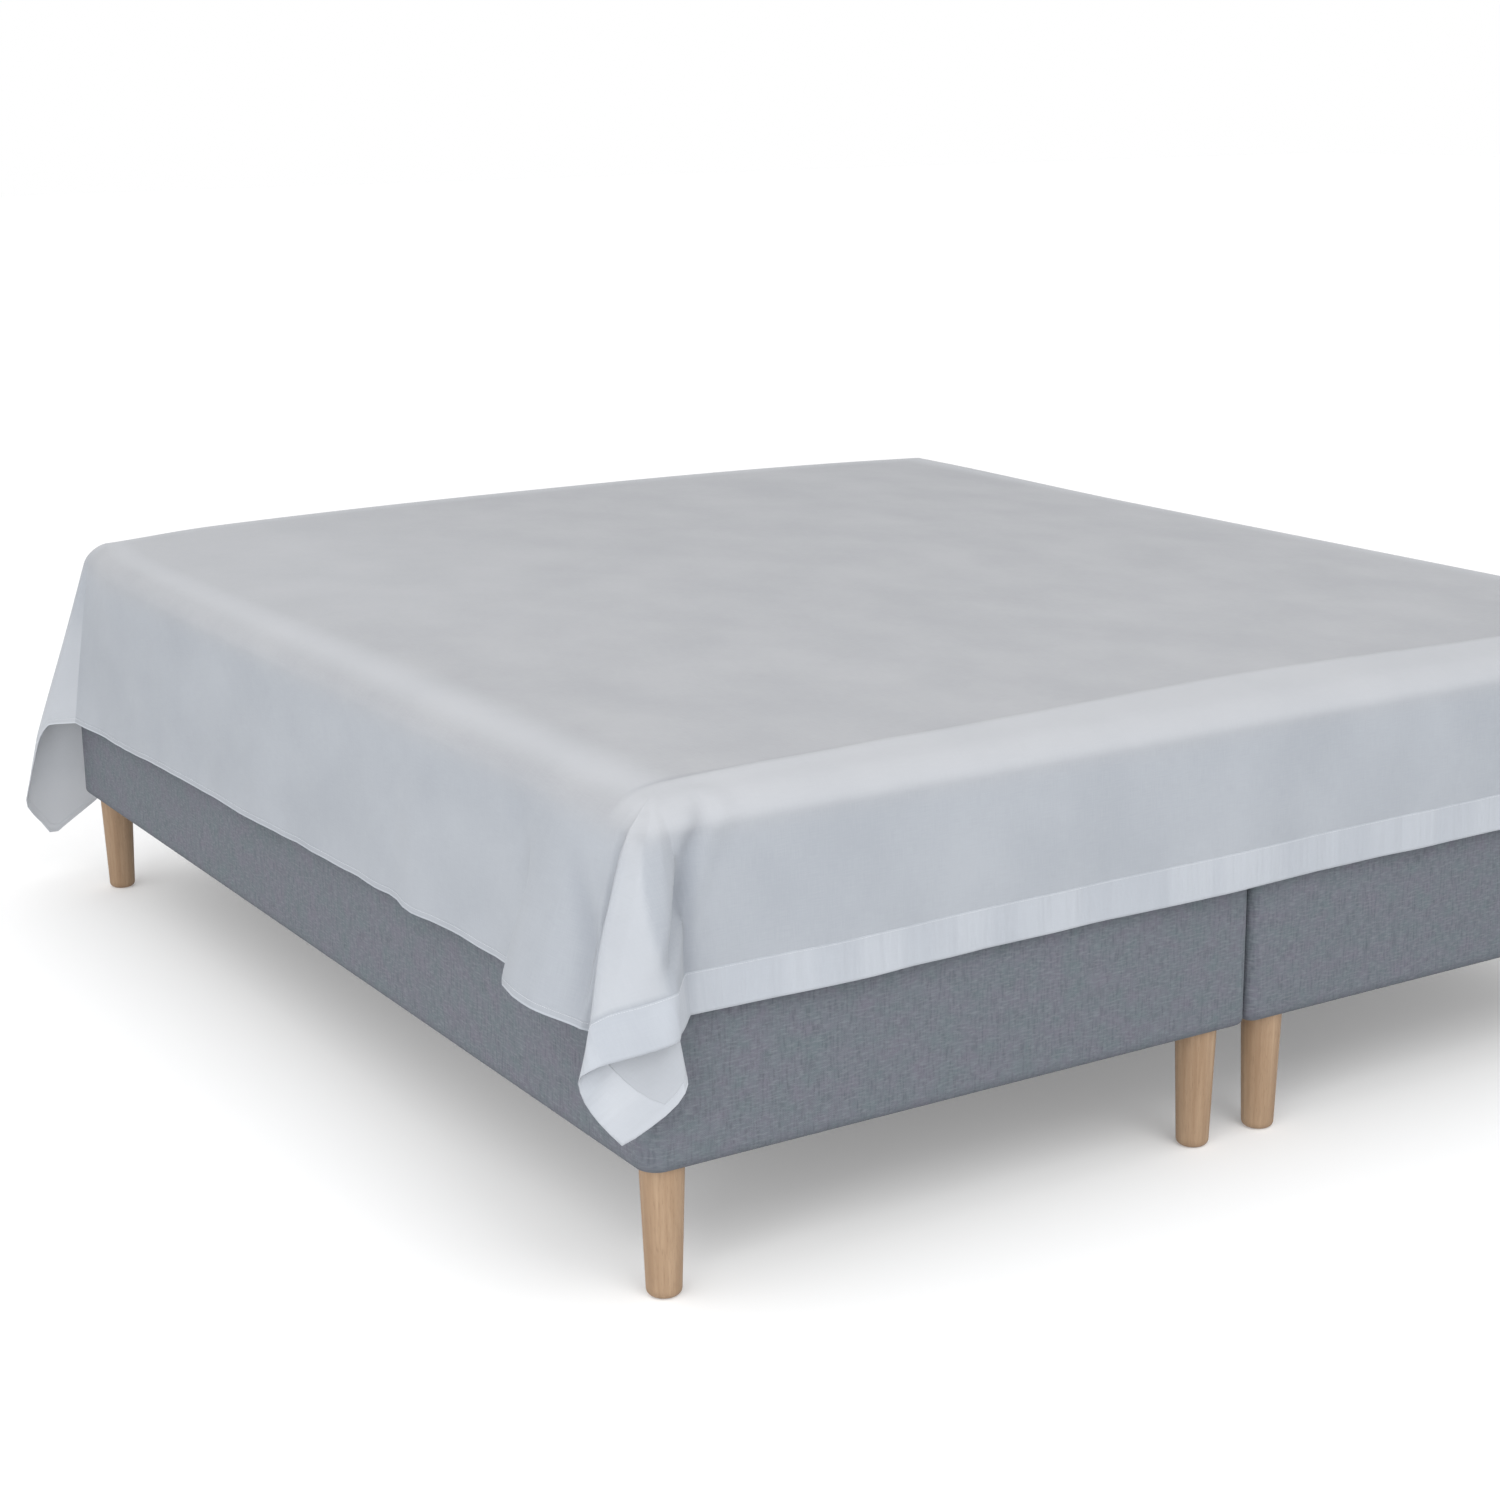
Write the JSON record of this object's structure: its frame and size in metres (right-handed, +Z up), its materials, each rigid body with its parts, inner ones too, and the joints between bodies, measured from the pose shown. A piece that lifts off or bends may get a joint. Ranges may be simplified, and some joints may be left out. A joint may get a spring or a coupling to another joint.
{
  "type": "flat sheet on a double box bed",
  "caption": "Sheer cotton flat sheet draped over a double box bed with a topper, upholstered bases and round wooden legs.",
  "frame": {"origin": "middle of the floor under the bed, within 15 mm of the middle of the whole with its cloth", "axes": "+Z up, +Y along the bed towards the head end, +X across it to the right as seen from the foot end"},
  "size_m": [1.9847, 2.1258, 0.6111],
  "materials": {
    "cotton": "sheer plain-weave cotton, soft and matt",
    "ticking": "white jersey ticking",
    "tweed": "grey melange upholstery weave",
    "oak": "lightly oiled oak"
  },
  "bodies": {
    "root": {"sheet": "cotton", "topper": "ticking", "base_left": "tweed", "base_right": "tweed", "leg_left_outer_foot": "oak", "leg_left_outer_head": "oak", "leg_left_seam_foot": "oak", "leg_left_seam_head": "oak", "leg_right_outer_foot": "oak", "leg_right_outer_head": "oak", "leg_right_seam_foot": "oak", "leg_right_seam_head": "oak"}
  },
  "joints": []
}
